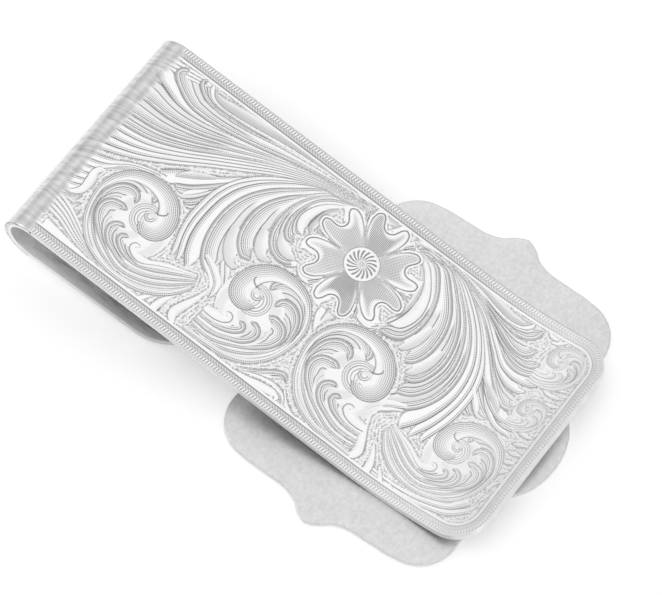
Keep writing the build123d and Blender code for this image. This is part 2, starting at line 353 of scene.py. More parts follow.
RIGHT_PLUME = [
    ([(33, 11.1), (36, 10.0), (38, 9.0), (41, 6.0), (43, 3.4), (44.5, 1.8), (46, 0.75), (47.3, 0.35),
      (48.3, 0.7)], LINE),
    ([(33, 11.1), (36, 10.1), (39, 8.8), (42, 5.9), (44, 3.6), (45.4, 2.3), (46.4, 1.75), (47.3, 1.85)], LEAF),
    ([(33, 11.2), (36, 10.3), (39, 9.0), (42, 6.5), (44, 4.6), (45.6, 3.8), (46.8, 3.9), (47.4, 4.4)], LINE),
    ([(33, 11.2), (36, 10.5), (39.5, 9.0), (42, 6.9), (44, 5.3), (46, 4.85), (47.8, 5.3), (48.6, 6.3)], LINE),
    ([(33, 11.2), (36, 10.6), (40, 9.0), (42.5, 7.1), (44, 6.05), (45.5, 5.75), (46.8, 6.1), (47.7, 6.8)], LEAF),
    ([(33, 11.3), (38, 10.0), (40.5, 8.6), (42.5, 7.45), (44.5, 6.8), (45.8, 6.7), (46.7, 7.2), (46.9, 7.7)], LEAF),
    ([(33, 11.3), (36, 10.8), (39, 9.75), (41.5, 8.5), (43.5, 7.6), (44.8, 7.5), (45.6, 8.1), (45.8, 8.8)], LEAF),
    ([(33, 11.35), (35, 11.1), (38, 10.35), (41, 9.4), (43, 9.05), (44.3, 9.3), (45.1, 10.2), (45.1, 11.0)], LEAF),
    ([(33, 11.4), (35, 11.2), (38, 10.65), (40, 10.1), (42, 9.85), (43.3, 10.1), (43.9, 10.7), (43.9, 11.2)], WHITE),
    ([(34, 11.4), (38, 10.85), (40, 10.35), (42, 10.1), (43.0, 10.35), (43.4, 10.8), (43.3, 11.1)], GREY),
]
LEFT_ARCS = [
    ([(17.5, 8.9), (14.8, 7.4), (13.0, 5.9), (11.7, 4.1), (10.95, 2.3), (10.65, 0.5), (10.6, -1.5), (10.9, -3.2),
      (11.4, -4.8), (11.8, -5.9)], LINE),
    ([(18.0, 9.0), (15.4, 7.4), (13.5, 5.8), (12.1, 4.0), (11.4, 2.1), (11.2, 0.2), (11.2, -1.8), (11.5, -3.4),
      (12.1, -5.0), (12.5, -5.9)], LINE),
    ([(18.5, 9.1), (15.8, 7.4), (13.8, 5.6), (12.6, 3.8), (12.0, 2.0), (11.8, 0.1), (11.85, -1.9), (12.2, -3.6),
      (12.9, -5.1), (13.6, -5.9)], LINE),
    ([(19.2, 9.3), (17.0, 7.7), (15.0, 5.9), (13.75, 4.1), (13.1, 2.3), (12.9, 0.4), (13.05, -1.3), (13.5, -2.9),
      (14.4, -4.4), (15.5, -5.2)], LEAF),
    ([(20.0, 9.4), (18.3, 7.9), (16.7, 6.3), (15.7, 4.7), (15.25, 3.0), (15.3, 1.4), (15.6, 0.1), (16.3, -1.0),
      (17.2, -1.6), (18.1, -1.4)], LEAF),
    ([(20.6, 9.5), (19.1, 8.3), (18.1, 6.7), (17.7, 5.1), (17.65, 3.6), (17.95, 2.2), (18.7, 1.05), (19.8, 0.45),
      (20.9, 0.5), (21.6, 0.9)], LEAF),
    ([(21.0, 9.4), (19.6, 8.3), (18.8, 6.8), (18.45, 5.4), (18.5, 4.2), (18.9, 3.2), (19.6, 2.65), (20.3, 2.8)], LEAF),
    ([(21.5, 9.1), (20.2, 8.1), (19.4, 6.9), (19.1, 5.7), (19.3, 4.8), (19.9, 4.15), (20.5, 4.1)], PLAIN),
    ([(21.6, 8.7), (20.8, 7.8), (20.4, 6.8), (20.25, 6.0), (20.5, 5.2), (20.9, 4.8)], PLAIN),
]
RIGHT_ARCS = [
    ([(36.0, 10.6), (39.0, 8.6), (41.5, 6.0), (42.9, 3.8), (43.55, 1.5), (43.6, -0.4), (43.4, -2.2), (42.9, -4.0),
      (42.2, -5.8)], LINE),
    ([(35.5, 10.7), (38.4, 8.9), (41.0, 6.2), (42.3, 3.9), (42.9, 1.6), (42.9, -0.4), (42.6, -2.2), (42.0, -4.2),
      (41.0, -6.0)], LINE),
    ([(35.0, 10.7), (38.0, 8.8), (40.5, 6.1), (41.7, 3.9), (42.2, 1.7), (42.2, -0.4), (41.8, -2.2), (41.0, -4.2),
      (39.8, -5.9)], LINE),
    ([(34.5, 10.7), (37.5, 8.7), (40.0, 5.9), (41.0, 3.8), (41.4, 1.7), (41.3, -0.2), (40.8, -1.8), (39.9, -3.2),
      (38.6, -4.4), (37.0, -5.3)], LEAF),
    ([(34.1, 10.7), (36.9, 8.8), (39.2, 6.0), (40.1, 3.8), (40.4, 1.9), (40.2, 0.2), (39.6, -1.4), (38.6, -2.6),
      (37.3, -3.2)], LEAF),
    ([(33.8, 10.7), (36.4, 8.7), (38.5, 6.0), (39.2, 4.0), (39.4, 2.2), (39.1, 0.5), (38.5, -0.8), (37.8, -1.4),
      (37.1, -1.5)], LEAF),
    ([(33.3, 10.6), (35.5, 8.8), (37.1, 6.5), (37.65, 4.5), (37.7, 2.8), (37.4, 1.3), (36.8, 0.3), (36.1, -0.1)], LEAF),
    ([(32.5, 10.3), (34.2, 8.6), (35.1, 6.6), (35.4, 4.8), (35.2, 3.0), (34.6, 1.7), (33.5, 1.05), (32.2, 0.95)], LEAF),
    ([(32.0, 9.7), (33.4, 8.2), (34.3, 6.6), (34.6, 5.0), (34.3, 3.4), (33.6, 2.4), (32.3, 2.1)], PLAIN),
    ([(31.9, 9.0), (32.8, 7.8), (33.2, 6.6), (33.3, 5.2), (33.1, 4.0), (32.7, 3.3)], PLAIN),
]
# Plain rounded lobes beyond the arcs' leaves, by the row that each follows
LEFT_LOBES = {
    3: ([(14.5, 0.6), (14.85, -1.1), (15.6, -2.4), (16.5, -3.1), (17.4, -3.15), (17.7, -2.6)],
        [0.9, 1.6, 2.1, 2.1, 1.9, 1.2]),
    4: ([(16.9, 2.2), (17.2, 0.8), (17.8, -0.2), (18.6, -0.65), (19.4, -0.5), (19.8, -0.1)],
        [0.8, 1.3, 1.6, 1.5, 1.2, 0.7]),
    5: ([(18.6, 3.0), (19.0, 1.9), (19.8, 1.2), (20.8, 1.1), (21.6, 1.5)], [0.7, 1.1, 1.4, 1.4, 0.8]),
}
RIGHT_LOBES = {
    3: ([(40.6, 0.2), (40.1, -1.5), (39.2, -2.8), (38.2, -3.7), (37.2, -4.1)], [0.6, 1.0, 1.2, 1.2, 0.8]),
    5: ([(38.7, 3.2), (38.6, 1.4), (38.1, 0.1), (37.5, -0.7), (36.8, -0.9)], [0.7, 1.0, 1.2, 1.2, 0.7]),
    6: ([(36.5, 4.6), (36.4, 3.0), (36.0, 1.7), (35.4, 0.9), (34.7, 0.7)], [0.7, 1.0, 1.2, 1.2, 0.8]),
}


MIDDLE = 27  # of the leaf, where the arcs and plumes of both sides meet


def rooted(rows, *roots):
    """The rows with points put before their first one: each root is x, y and the y step from row to row."""
    out = []
    for k, (points, profile) in enumerate(rows):
        reach = abs(points[0][0] - MIDDLE) - 0.4
        out.append(([(x, y + k * step) for x, y, step in roots if abs(x - MIDDLE) < reach] + points, profile))
    return out


def stepped(count, points, steps, *profiles):
    """Rows side by side: each point moves on by its step from row to row, and the profiles take turns."""
    return [([(x + k * dx, y + k * dy) for (x, y), (dx, dy) in zip(points, steps)], profiles[k % len(profiles)])
            for k in range(count)]


def carried(rows, end):
    """The rows carried straight on past their last point to d = end, round the fold."""
    out = []
    for points, profile in rows:
        (x0, y0), (x1, y1) = points[-2:]
        out.append((points + [(end, y1 + (y1 - y0) * (end - x1) / (x1 - x0))] if x1 < -2 else points, profile))
    return out


STALKS = [  # Stalks that tie the leaves, and the bright drops below them
    ([(14.4, -3.8), (15.6, -4.6), (16.8, -5.6), (17.3, -6.9)], [0.5, 0.9, 0.9, 0.3], LINE, 0.1),
    ([(14.6, -4.2), (15.6, -4.9), (16.5, -5.7), (17.1, -6.8)], [0.2, 0.35, 0.4, 0.2], WHITE, 0.1),
    ([(16.8, -6.2), (16.3, -7.6), (15.5, -9.1), (15.1, -10.3), (15.5, -11.2), (16.4, -11.5)],
     [0.2, 0.5, 0.9, 1.1, 1.2, 0.8], PLAIN, 0.12),
    ([(14.9, -8.5), (14.0, -9.6), (13.5, -10.6), (13.4, -11.6)], [0.1, 0.5, 0.9, 1.0], PLAIN, 0.0),
    ([(13.1, -10.1), (12.3, -10.8), (11.6, -11.6)], [0.1, 0.5, 0.8], PLAIN, 0.0),
    ([(11.4, -10.9), (10.8, -11.2), (10.2, -11.6)], [0.1, 0.3, 0.6], PLAIN, 0.0),
    ([(10.5, 3.4), (9.2, 2.3), (8.0, 1.5), (7.2, 1.0)], [-0.3, -0.7, -0.8, -0.5], GREY, 0.2),
    ([(10.6, 1.9), (9.8, 0.8), (8.9, -0.1)], [-0.2, -0.5, -0.5], WHITE, 0.2),
]
SMALL_LEAVES = [
    # Under the middle
    ([(22.6, -11.5), (25, -10.95), (27, -10.45), (28.2, -10.4), (28.9, -10.9), (28.6, -11.5)],
     [-0.1, -0.5, -0.9, -1.0, -0.9, -0.5], PLAIN, 0.1),
    ([(23.8, -10.9), (25.5, -9.8), (27.0, -8.6), (27.8, -8.3), (28.4, -8.8), (28.5, -9.2)],
     [-0.1, -0.4, -0.8, -1.0, -0.8, -0.4], LEAF, 0.15),
    ([(28.9, -9.7), (29.8, -10.6), (30.9, -11.2), (31.9, -11.4)], [-0.2, -0.45, -0.4, -0.1], LINE, 0.2),
    ([(24.2, -10.9), (26, -10.1), (27.6, -9.8), (29.0, -10.2), (29.6, -11.0)], [-0.1, -0.35, -0.45, -0.5, -0.3],
     LINE, 0.1),
    # Drop between the two middle scrolls
    ([(26.3, -0.6), (26.3, -1.4), (26.7, -2.4), (27.3, -3.2)], [1.9, 1.7, 1.0, 0.1], PLAIN, 0.0),
    ([(27.0, -0.4), (27.05, -1.1), (27.15, -1.9)], [0.35, 0.25, 0.05], SHADE, 0.0),
    # Beside the fold
    ([(1.7, -2.9), (1.0, -2.85), (0.5, -3.6), (0.55, -4.8), (0.6, -5.8), (-0.2, -6.9)],
     [0.2, 0.6, 1.0, 1.05, 0.8, 0.3], PLAIN, 0.1),
]


def draw_leaves():
    family(rooted(carried(LEFT_PLUME, -4.4), (24.6, 10.7, 0.03)), -1, 0.06)
    stroke(LEFT_PLUME[-1][0], -np.array([0.15, 0.4, 0.8, 1.0, 1.15, 1.2, 1.1, 0.5]), GREY, 0.08)
    family(rooted(RIGHT_PLUME, (29.2, 11.15, 0.02), (31.4, 11.1, 0.02)), 1, 0.08)
    stroke(RIGHT_PLUME[-1][0], np.array([0.15, 0.35, 0.6, 0.8, 0.95, 0.9, 0.4]), GREY, 0.1)
    for side, lobes, rows in ((1, LEFT_LOBES, rooted(LEFT_ARCS, (24.2, 10.6, -0.06), (21.6, 10.0, -0.06))),
                              (-1, RIGHT_LOBES, rooted(RIGHT_ARCS, (29.6, 11.0, -0.07), (31.6, 10.95, -0.09)))):
        for k in range(len(rows) - 1):
            family(rows[k : k + 2], side, 0.07)
            if k in lobes:
                stroke(lobes[k][0], side * np.array(lobes[k][1]), LOBE, 0.16)
    stroke(LEFT_ARCS[-1][0], [0.5, 1.0, 0.8], GREY, 0.2)
    stroke(RIGHT_ARCS[-1][0], -np.array([0.3, 0.6, 0.5]), GREY, 0.2)
    for mirror, x in ((1, 0.0), (-1, 53.6)):
        strokes(STALKS, x, mirror)
    strokes(SMALL_LEAVES)
    buds = [(-0.5, -7.3), (0.5, -7.1), (1.4, -6.5)], [(0.55, -0.62), (0.495, -0.62), (0.44, -0.62)]
    for points, _ in stepped(5, *buds, GREY):
        stroke(points, [-0.4, -0.5, -0.2], GREY, 0.3)
    fan = [(8.5, -11.35), (4.0, -10.9), (1.0, -9.95), (-2.2, -9.7)], [(-0.3, 0), (0, 0.28), (0, 0.42), (0, 0.55)]
    family(stepped(6, *fan, LINE), -1, 0.0, 0.6)


PETAL = [(1.3, 0.70), (2.2, 1.20), (3.0, 1.60), (3.9, 1.93), (4.85, 2.06), (5.5, 1.86), (5.74, 1.38), (5.42, 0.98),
         (5.0, 0.78), (4.6, 0.56), (4.38, 0.26), (4.33, 0.0)]
FLOWER, PETALS, BUTTON_CUTS = np.array((26.85, 5.45)), 6, 17
PETAL_DEPTHS = (0.20, 0.27, 0.19, 0.17, 0.30, 0.22)  # how dark each petal's shading goes


def draw_flower():
    centre = FLOWER

    def turned(points, degrees):
        c, s = np.cos(np.radians(degrees)), np.sin(np.radians(degrees))
        return [(centre[0] + x * c - y * s, centre[1] + x * s + y * c) for x, y in points]

    # White drops in the petals' notches, and the line that closes the ground on either side
    for k in range(PETALS):
        drop = turned([(6.3, -0.62), (5.8, -0.62), (5.2, -0.3), (4.75, -0.1)], 60 * k + 30)
        stroke(drop, [0.6, 1.25, 0.9, 0.4], WHITE, 0.2, 0.2)
    for start, end in ((-46, -4), (160, 186)):
        groove([turned([(6.5, 0)], start + (end - start) * j / 14)[0] for j in range(15)], 0.13)
    for k in range(PETALS):
        # The deep valley between two petals
        for points, widths, profile in (
            ([(2.5, -0.05), (3.6, -0.05), (4.7, -0.12), (5.7, -0.35)], [0.1, 0.3, 0.42, 0.3], SHADE),
            ([(2.5, 0.06), (3.6, 0.12), (4.7, 0.2), (5.8, 0.3)], [0.1, 0.16, 0.2, 0.12], WHITE),
        ):
            stroke(turned(points, 60 * k), widths, profile, 0.1)
    for k in range(PETALS):
        turn = 60 * k + 30
        outline = turned(PETAL + [(x, -y) for x, y in PETAL[-2::-1]], turn)
        cut, left, s, total = local(outline, 2.3)
        x, y = grid_d[cut] - centre[0], grid_y[cut] - centre[1]
        c, q = np.cos(np.radians(turn)), np.sin(np.radians(turn))
        u, v = x * c + y * q, -x * q + y * c
        radius = np.hypot(x, y)
        petal = (np.abs(v) < u * np.tan(np.radians(30.5))) & (u > 0)
        inside = np.where(radius > 1.7, -left, 1.0)
        cover = within(inside) * petal
        bow = np.abs(s / total - 0.5)  # 0 at the notch, 0.5 at the root
        # A bright halo outside the petal, closed by a second thin line
        halo = smooth(-0.24, -0.18, inside) * (radius > 4.2) * petal
        lay(cut, halo, (tone, 1.0))
        hatch[cut] *= 1 - halo
        free[cut] &= (halo < 0.5) & (cover < 0.5)
        tone[cut] -= 0.2 * bell(inside, -0.3, 0.06) * (radius > 4.6) * petal * (bow > 0.12) * (v > 0)
        root = smooth(3.6, 2.4, radius)
        # Painted highlight: the petal's white rim is wider on its lit side
        lit = smooth(0.6, -0.6, v)
        rim = smooth(0.12 + 0.14 * lit, 0.34 + 0.25 * bow + 0.55 * lit * smooth(2.6, 4.2, u), inside)
        shade = np.maximum(rim, 0.9 * root)
        depth = PETAL_DEPTHS[k] - 0.05 * smooth(-0.5, 1.5, v) * smooth(2.5, 4, u)
        value = 1.0 - depth * shade + 0.04 * smooth(1.2, 1.9, inside)
        line = bell(inside, 0.02, 0.085) * (1 - root)
        value = value - (0.60 - 0.30 * smooth(0.2, 0.36, bow)) * line
        level = 0.02 * smooth(0, 0.3, inside) - 0.03 * smooth(0.3, 1.5, inside) * (1 - root) - 0.01 * line
        lay(cut, cover, (height, level), (tone, value), (hatch, shade * (1 - 0.4 * root)))
        across[cut] = np.where(cover > 0.5, 1.25 * v, across[cut])
        along[cut] = np.where(cover > 0.5, 1.25 * u, along[cut])
    # Button: a rim and curved cuts
    cut = (slice(*np.searchsorted(axis_d, [24.0, 30.0])), slice(*np.searchsorted(axis_y, [2.6, 8.3])))
    x, y = grid_d[cut] - centre[0], grid_y[cut] - centre[1]
    radius, angle = np.hypot(x, y), np.degrees(np.arctan2(y, x))
    button = within(1.86 - radius)
    wave = np.cos(np.radians(BUTTON_CUTS * (angle + 22 * np.clip(radius, 0.3, 1.8))))
    cuts = smooth(-0.1, 0.7, wave) * smooth(0.28, 0.6, radius) * smooth(1.6, 1.4, radius)
    dot = smooth(0.5, 0.2, radius)
    lay(cut, button, (height, 0.02 - 0.03 * cuts - 0.02 * smooth(1.6, 1.8, radius)), (hatch, 0),
        (tone, 1.0 - 0.40 * cuts - 0.34 * smooth(1.72, 1.84, radius) - 0.15 * dot))


def outline_coordinates(d, y):
    """Distance in from the leaf's outline, and length along it from the fold's end of the +Y side."""
    side = np.abs(y)
    cx, cy = LEAF_LENGTH - CORNER_R, HALF_W - CORNER_R
    dx, dy = d - cx, side - cy
    corner = (dx > 0) & (dy > 0)
    inward = np.where(corner, CORNER_R - np.hypot(dx, dy), np.minimum(HALF_W - side, LEAF_LENGTH - d))
    turn = np.arctan2(np.maximum(dx, 1e-9), np.maximum(dy, 1e-9))
    run = np.where(corner, cx + turn * CORNER_R, np.where(dy > dx, d, cx + CORNER_R * np.pi / 2 + cy - side))
    return inward, run


BORDER, ROPE_PITCH = 1.42, 0.325


def draw_border():
    """Two bands of slanting cuts round the rim, with a line inside them."""
    inward, run = outline_coordinates(grid_d, grid_y)
    zone = inward < BORDER
    free[zone] = False
    fade = smooth(-3.6, -1.8, grid_d) * (1 - 0.35 * smooth(28, 48, grid_d))
    e, s = inward[zone], run[zone] * np.where(grid_y[zone] < 0, -1, 1)
    f = fade[zone]
    outer = np.clip((np.cos(2 * np.pi * (s + 0.25 * (e - 0.4)) / ROPE_PITCH) + 0.55) / 1.55, 0, 1) ** 0.6
    inner = np.clip((np.cos(2 * np.pi * (s - 0.9 * (e - 0.85)) / ROPE_PITCH + 1.2) + 0.35) / 1.35, 0, 1) ** 0.7
    in_outer = smooth(0.12, 0.2, e) * smooth(0.64, 0.56, e)
    in_inner = smooth(0.62, 0.70, e) * smooth(1.02, 0.94, e)
    level = f * (in_outer * (0.045 * outer - 0.03) + in_inner * (0.03 * inner - 0.02))
    level = level - f * 0.03 * bell(e, 1.09, 0.06)
    value = GROUND_TONE - f * (in_outer * (0.28 * (1 - outer) - 0.03) + in_inner * (0.04 + 0.22 * (1 - inner)))
    value = value - f * 0.46 * bell(e, 1.09, 0.065) - 0.14 * bell(e, 0.65, 0.05) * f
    value = value + f * 0.03 * bell(e, 1.28, 0.09) - f * 0.10 * bell(e, 0.14, 0.04)
    lay(zone, smooth(BORDER, BORDER - 0.08, e), (height, level), (tone, value), (hatch, 0))


GROUND_TONE, GROUND_DEPTH = 0.97, 0.006


def draw_ground():
    tone[:], height[:], hatch[:] = GROUND_TONE, -GROUND_DEPTH, 0.0
    across[:] = grid_y
    along[:] = grid_d


ECHO_CELLS, ECHO_PITCH = 40, 0.30


def draw_echoes():
    """Bare ground between the leaves: fine broken lines that follow the shapes round it, and a little stipple."""
    away = np.where(free, 9.0, 0.0)
    for _ in range(ECHO_CELLS):
        for axis in (0, 1):
            lo, _, hi = neighbours(away, axis)
            # Straight steps count a little short, so that slanting shapes keep their echoes even
            away = np.minimum(away, np.minimum(lo, hi) + 0.85 * CELL)
    dots = soften(np.random.default_rng(7).random(grid_d.shape), 2)
    dots = (dots - dots.mean()) / dots.std()
    echo = bell(np.mod(away + 0.06, ECHO_PITCH), ECHO_PITCH / 2, 0.055) * (away < 1.4)
    value = GROUND_TONE - 0.26 * echo * smooth(-1.4, 0.2, dots) - 0.08 * smooth(0.0, 1.4, dots)
    tone[free] = value[free]
    height[free] -= (GROUND_DEPTH * echo)[free]


def draw_fillers():
    """Strokes that close the spaces between the large leaves."""
    triangle = [
        ([(16.0, 8.1), (12.8, 5.7), (10.6, 3.9), (8.7, 2.8), (7.0, 1.9), (5.6, 0.7)], LINE),
        ([(16.0, 8.0), (13.2, 5.7), (11.4, 3.7), (10.0, 2.3), (8.8, 1.2), (7.6, 0.5)], LEAF),
        ([(16.0, 7.9), (13.6, 5.7), (12.0, 3.7), (11.0, 1.9), (10.0, 0.4), (9.2, -0.3)], LEAF),
        ([(16.2, 7.9), (13.9, 5.7), (12.4, 3.7), (11.4, 1.8), (10.9, 0.2), (10.6, -1.2)], LEAF),
        ([(16.5, 7.9), (14.2, 5.8), (12.8, 3.7), (11.9, 1.8), (11.5, 0.2), (11.2, -1.2)], LEAF),
    ]
    family(triangle, 1, 0.1)
    mirrored = [([(53.9 - x, y) for x, y in points], profile) for points, profile in triangle]
    family(mirrored, -1, 0.1)
    tip_side = [
        ([(41.5, 5.6), (43.6, 2.6), (45.2, 0.7), (47.0, -0.4), (49.0, -0.6)], LINE),
        ([(41.8, 5.7), (43.9, 2.9), (45.6, 1.1), (47.2, 0.1), (49.0, 0.1)], LINE),
        ([(42.1, 5.9), (44.1, 3.4), (45.8, 1.6), (47.3, 0.8), (48.6, 0.9)], LINE),
    ]
    family(tip_side, 1, 0.1)
    strokes([
        ([(18.2, 2.2), (19.0, 1.1), (20.2, 0.4), (21.4, 0.55), (22.3, 1.4)], [0.2, 1.2, 2.0, 1.6, 0.6], PLAIN, 0.15),
        ([(21.9, 1.4), (22.8, 0.4), (23.8, 0.3), (24.7, 0.9), (25.2, 1.8)], [0.3, 1.3, 1.8, 1.4, 0.6], PLAIN, 0.15),
        ([(28.8, 1.3), (30.0, 0.5), (31.4, 0.5), (32.0, 1.2)], [0.3, 1.2, 1.4, 0.6], PLAIN, 0.15),
        ([(31.7, 0.75), (33.0, 0.85), (34.3, 1.25), (35.0, 2.2)], [0.3, 1.0, 1.1, 0.4], LEAF, 0.15),
        ([(19.0, 10.55), (21.5, 10.75), (23.5, 10.3), (24.6, 9.2)], [0.2, 0.7, 0.9, 0.7], LINE, 0.1),
        ([(34.5, 10.5), (32.0, 10.9), (30.0, 10.4), (29.2, 9.2)], [-0.2, -0.6, -0.8, -0.6], LINE, 0.1),
        ([(25.0, 11.0), (25.8, 11.45), (26.8, 11.35), (27.4, 11.1)], [-0.2, -0.8, -0.9, -0.3], GREY, 0.1),
        ([(20.8, 8.4), (20.6, 7.6), (21.0, 6.6), (22.0, 6.2)], [0.4, 1.2, 1.4, 1.0], GREY, 0.1),
    ])
    # Leaves in the narrow spaces by the tip
    for points, width in (
        ([(51.1, 6.5), (50.0, 6.1), (48.9, 6.2), (47.9, 6.8)], 0.5),
        ([(51.1, 5.6), (50.2, 5.2), (49.0, 5.3), (48.2, 5.9)], 0.5),
        ([(51.1, 0.4), (50.2, 0.1), (49.2, 0.4), (48.4, 1.0)], 0.6),
        ([(51.1, -0.6), (50.4, -1.0), (49.5, -0.9)], 0.6),
        ([(50.9, -8.2), (50.5, -9.3), (49.6, -10.2), (48.4, -10.9)], 0.6),
        ([(51.2, 7.6), (51.3, 9.0), (50.9, 10.4)], 0.4),
        ([(51.2, 4.6), (50.3, 4.2), (49.4, 4.5)], 0.55),
        ([(51.2, 3.7), (50.6, 3.3), (50.1, 3.6)], 0.5),
        ([(51.2, -1.8), (50.3, -2.1), (49.5, -1.8)], 0.6),
        ([(51.2, -2.8), (50.3, -3.2), (49.5, -3.0)], 0.6),
        ([(51.2, -3.8), (50.6, -4.4), (50.2, -5.1)], 0.6),
        ([(51.2, -5.1), (50.8, -6.0), (50.6, -6.9)], 0.5),
        ([(51.2, -6.5), (51.0, -7.4), (50.5, -8.2)], 0.4),
    ):
        stroke(points, -np.array([0.3, 1.0, 0.8, 0.2]) * width, LEAF, 0.1)
    for points in ([(45.4, 11.2), (46.2, 10.7), (46.9, 10.9)], [(46.3, 10.3), (47.2, 10.5), (47.8, 11.2)],
                   [(47.9, 11.3), (49.2, 11.35), (50.3, 11.0)]):
        stroke(points, np.array([0.2, 0.5, 0.4]), LINE, 0.1)
    bottom = [
        ([(40.2, -11.3), (43.5, -11.45), (46.5, -11.3), (49.0, -10.7), (50.6, -9.4)], LINE),
        ([(40.2, -11.0), (43.5, -11.1), (46.3, -10.8), (48.6, -10.1), (50.2, -8.8)], LINE),
        ([(40.2, -10.7), (43.5, -10.7), (46.1, -10.3), (48.3, -9.5)], LINE),
    ]
    family(bottom, 1, 0.05)
    stroke([(0.3, -11.5), (4.0, -11.55), (8.0, -11.6)], [1.1, 0.5, 0.05], WHITE, 0.0)
    # Lines that run on round the fold: beside the first scroll, by the lower rim and by the upper one
    for count, points, steps, *profiles in (
        (7, [(6.5, 0.55), (3.6, -0.25), (1.0, -1.6), (-1.5, -2.3), (-4.4, -2.9)],
         [(-0.5, -0.35), (-0.4, -0.5), (0, -0.72), (0, -0.8), (0, -0.85)], LINE, LEAF),
        (6, [(1.2, -7.0), (-1.0, -7.1), (-4.4, -7.4)], [(0, -0.28), (0, -0.36), (0, -0.5)], LINE),
        (5, [(3.4, 11.4), (0.6, 11.2), (-1.6, 11.0), (-4.4, 11.0)], [(0, -0.30), (0, -0.45), (0, -0.5), (0, -0.55)],
         LEAF, LINE),
    ):
        family(stepped(count, points, steps, *profiles), 1, 0.0)
    # Stems crossing below the arcs, on both sides
    crossing = stepped(6, [(13.2, -1.6), (14.2, -3.4), (15.6, -4.9), (17.3, -6.2)],
                       [(0.62, -0.1), (0.6, 0), (0.45, 0.1), (0.1, 0.3)], LINE, LEAF)
    for mirror, x in ((1, 0.0), (-1, 53.8)):
        family([(placed(points, (x, 0.0), 1.0, mirror), profile) for points, profile in crossing], mirror, 0.1)


def draw_wear_and_painted_shade():
    """Pockets have rubbed the fold, where the cuts are blurred and the metal blotchy. Painted shade darkens a band
    across the bend and the fold's far side, with painted highlight patches across it, and the tip's cuts are painted
    towards an even grey as painted shade on its flared end.
    """
    blotch = np.sin(1.7 * grid_y + 0.8 * grid_d) * np.sin(4.1 * grid_y - 1.1 * grid_d + 1.0)
    blotch = blotch + 0.5 * np.sin(9.3 * grid_y + 2.0 * np.sin(1.3 * grid_y) + 2.0 * grid_d)
    rubbed_and_shaded = smooth(0.1, -0.5, grid_d + 0.2 * blotch)
    # Painted shade: a darker band where the strip turns over the fold and a darker far side, with real blotchy wear
    wear_and_painted_shade = 0.962 - 0.195 * bell(grid_d, -0.66, 0.42) - 0.10 * smooth(-2.3, -2.8, grid_d) + 0.045 * blotch
    # Painted highlight: lighter patches across the fold
    patch = smooth(-0.9, 0.9, np.sin(1.1 * grid_y + 0.5) + 0.6 * np.sin(2.7 * grid_y + 1.0 + 0.9 * grid_d))
    tone[:] += 0.55 * rubbed_and_shaded * (soften(tone, 16) - tone)
    # Painted shade: the tip's cuts pulled towards an even grey, for the dimmer light on its flared end
    tip_painted_shade = 0.35 * smooth(40.0, 49.0, grid_d) * (0.91 - tone)
    tone[:] = tone + (0.60 + 0.28 * patch) * rubbed_and_shaded * (wear_and_painted_shade - tone) + tip_painted_shade
    height[:] = height * (1 - 0.8 * rubbed_and_shaded)
    hatch[:] = hatch * (1 - 0.6 * rubbed_and_shaded)
    # The far side of the fold is plain
    lay(slice(None), smooth(-3.0, -3.6, grid_d + 0.15 * blotch), (height, 0), (tone, 0.95), (hatch, 0))


def draw_all():
    draw_ground()
    draw_fillers()
    draw_leaves()
    draw_scrolls()
    draw_flower()
    draw_border()
    draw_echoes()
    draw_wear_and_painted_shade()


# ---------------------------------------------------------------- sheet shapes, in mm
THICK, PLATE_T = 0.75, 0.5
BOW_X, BOW_Z, BOW_IN = -37.8, 5.25, 2.25
BOW_OUT = BOW_IN + THICK
FALL, LEG_FALL = radians(9.8), radians(5.3)
FLARE_START, FLARE_R = 37.91, 30.0

under = (BOW_X + BOW_IN * sin(FALL), BOW_Z + BOW_IN * cos(FALL))
over = (BOW_X + BOW_OUT * sin(FALL), BOW_Z + BOW_OUT * cos(FALL))
flare_x = BOW_X + FLARE_START
flare_z = under[1] - (flare_x - under[0]) * tan(FALL)
flare_c = (flare_x + FLARE_R * sin(FALL), flare_z + FLARE_R * cos(FALL))
flare_over = FLARE_R - THICK
straight = hypot(flare_c[0] - flare_over * sin(FALL) - over[0],
                 flare_c[1] - flare_over * cos(FALL) - over[1])


def on_leaf(d, depth):
    """X, Z and the outward direction's X, Z at arc length d along the outer surface, depth mm below it."""
    turn = np.where(d < straight, -FALL, -FALL + (d - straight) / flare_over)
    nx, nz = -np.sin(turn), np.cos(turn)
    x = np.where(d < straight, over[0] + d * cos(FALL), flare_c[0] - flare_over * nx)
    z = np.where(d < straight, over[1] - d * sin(FALL), flare_c[1] - flare_over * nz)
    angle = pi / 2 - FALL - d / BOW_OUT
    c, s = np.cos(angle), np.sin(angle)
    on_bow = (BOW_X + BOW_OUT * c, BOW_Z + BOW_OUT * s, c, s)
    x, z, nx, nz = (np.where(d < 0, there, here) for there, here in zip(on_bow, (x, z, nx, nz)))
    return x - depth * nx, z - depth * nz, nx, nz


def sample(field, d, y):
    """The engraving's field at (d, y), linear between cells."""
    i = np.clip((d - D_LO) / CELL, 0, field.shape[0] - 1.001)
    j = np.clip((y + Y_HI) / CELL, 0, field.shape[1] - 1.001)
    i0, j0 = i.astype(int), j.astype(int)
    a, b = i - i0, j - j0
    return (
        field[i0, j0] * (1 - a) * (1 - b) + field[i0 + 1, j0] * a * (1 - b)
        + field[i0, j0 + 1] * (1 - a) * b + field[i0 + 1, j0 + 1] * a * b
    )


